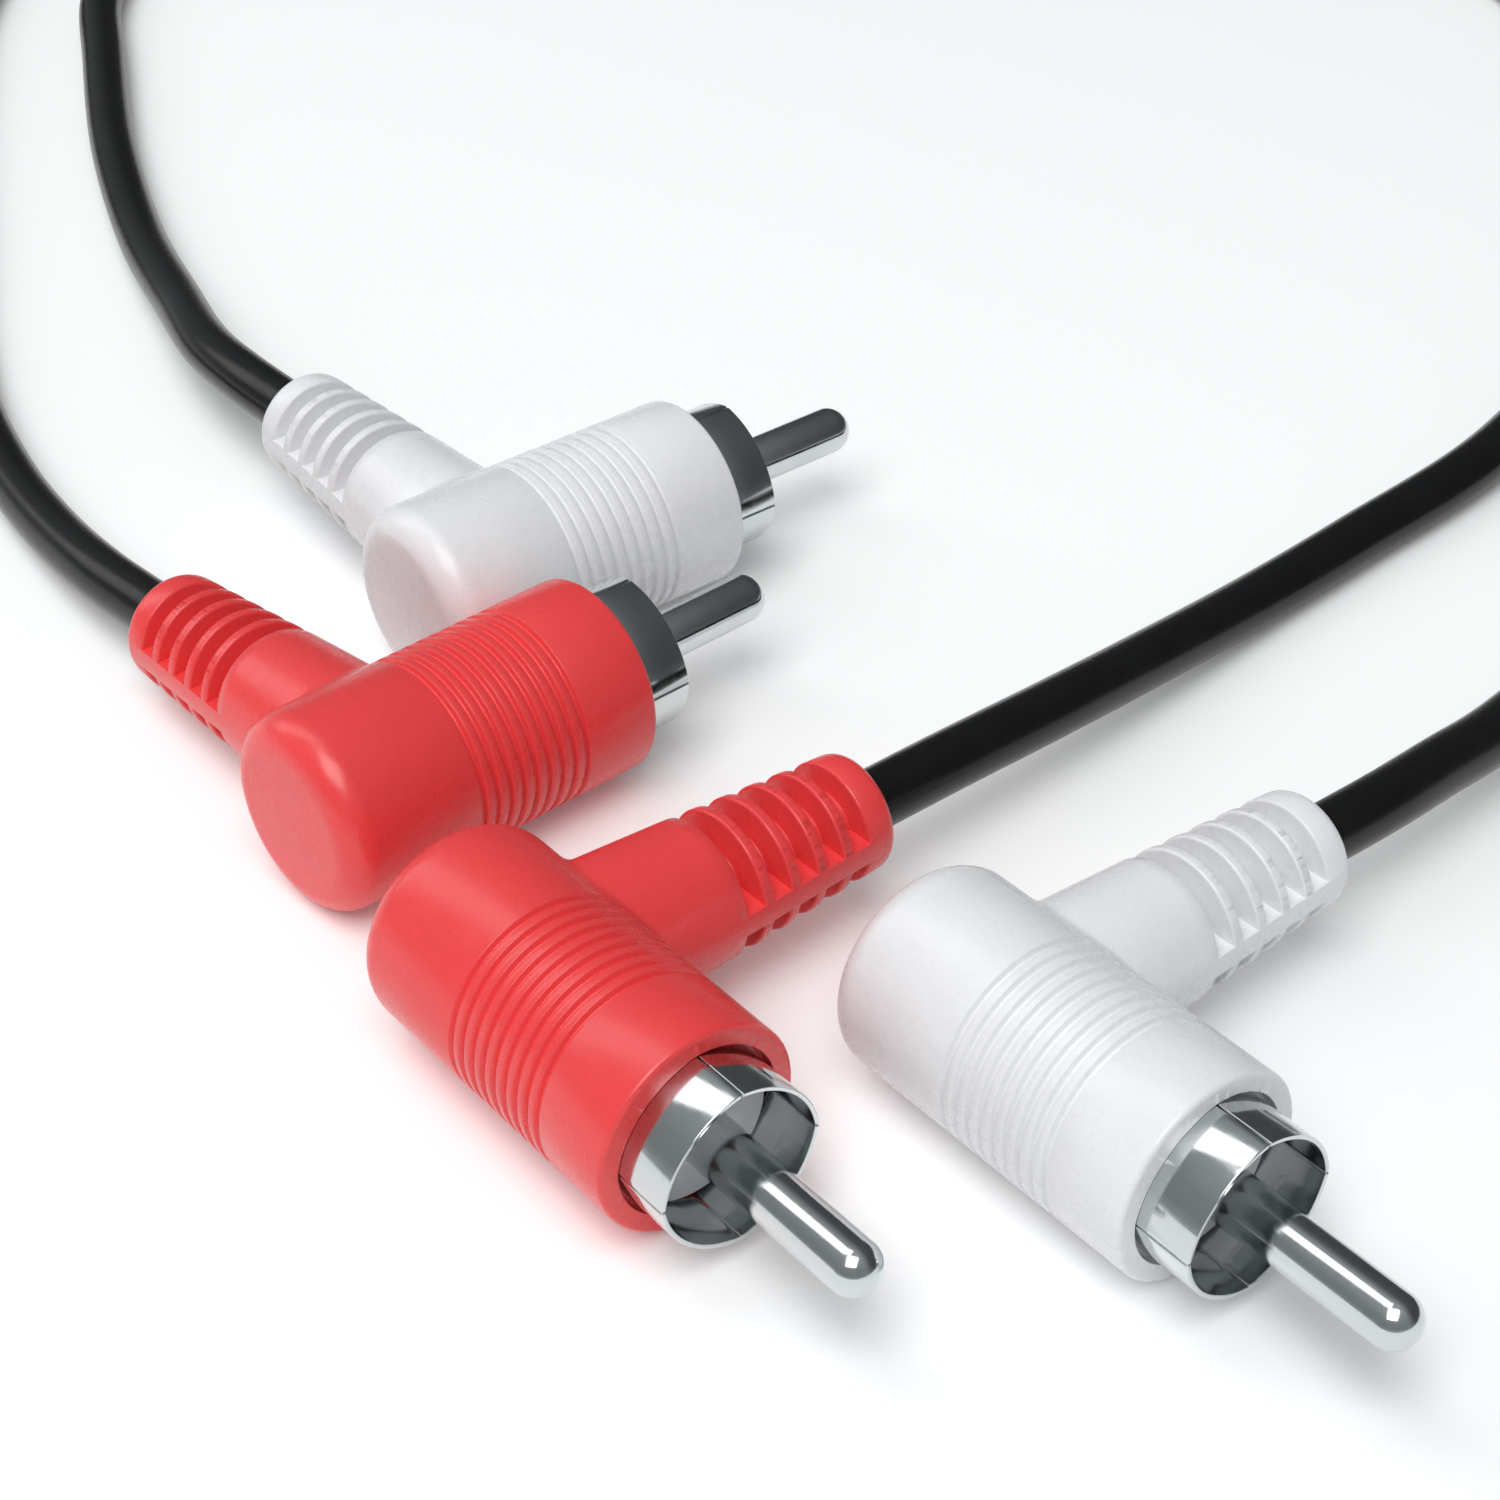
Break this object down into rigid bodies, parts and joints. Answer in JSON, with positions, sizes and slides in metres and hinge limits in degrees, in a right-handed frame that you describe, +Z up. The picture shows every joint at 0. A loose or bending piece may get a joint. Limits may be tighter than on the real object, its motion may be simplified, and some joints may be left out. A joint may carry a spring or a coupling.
{
  "type": "stereo RCA audio patch cable",
  "caption": "Stereo RCA patch cable: two black round cords, each with a moulded right-angle phono plug at both ends, red pair and white pair.",
  "frame": {"origin": "on the floor, below the middle of the box around the four plugs", "axes": "+Z up; +X to the right and +Y away from the viewer, as the picture shows the laid-out cable"},
  "size_m": [0.1671, 0.2316, 0.0128],
  "materials": {
    "red_plastic": "satin moulded vinyl with a very fine grain",
    "white_plastic": "satin moulded vinyl with a very fine grain",
    "black_jacket": "satin extruded jacket",
    "plated_contact": "bright nickel plate",
    "dark_insulator": "plain moulded plastic",
    "core_dielectric": "plain extruded plastic",
    "copper_braid": "bare copper strands"
  },
  "bodies": {
    "root": {"white_front_overmould": "white_plastic", "white_front_ground_shell": "plated_contact", "white_front_insulator": "dark_insulator", "white_front_centre_pin": "plated_contact", "white_front_core_wire": "core_dielectric", "white_front_shield_braid": "copper_braid", "red_front_overmould": "red_plastic", "red_front_ground_shell": "plated_contact", "red_front_insulator": "dark_insulator", "red_front_centre_pin": "plated_contact", "red_front_core_wire": "core_dielectric", "red_front_shield_braid": "copper_braid", "red_back_overmould": "red_plastic", "red_back_ground_shell": "plated_contact", "red_back_insulator": "dark_insulator", "red_back_centre_pin": "plated_contact", "red_back_core_wire": "core_dielectric", "red_back_shield_braid": "copper_braid", "white_back_overmould": "white_plastic", "white_back_ground_shell": "plated_contact", "white_back_insulator": "dark_insulator", "white_back_centre_pin": "plated_contact", "white_back_core_wire": "core_dielectric", "white_back_shield_braid": "copper_braid", "red_cord": "black_jacket", "white_cord": "black_jacket"}
  },
  "joints": []
}
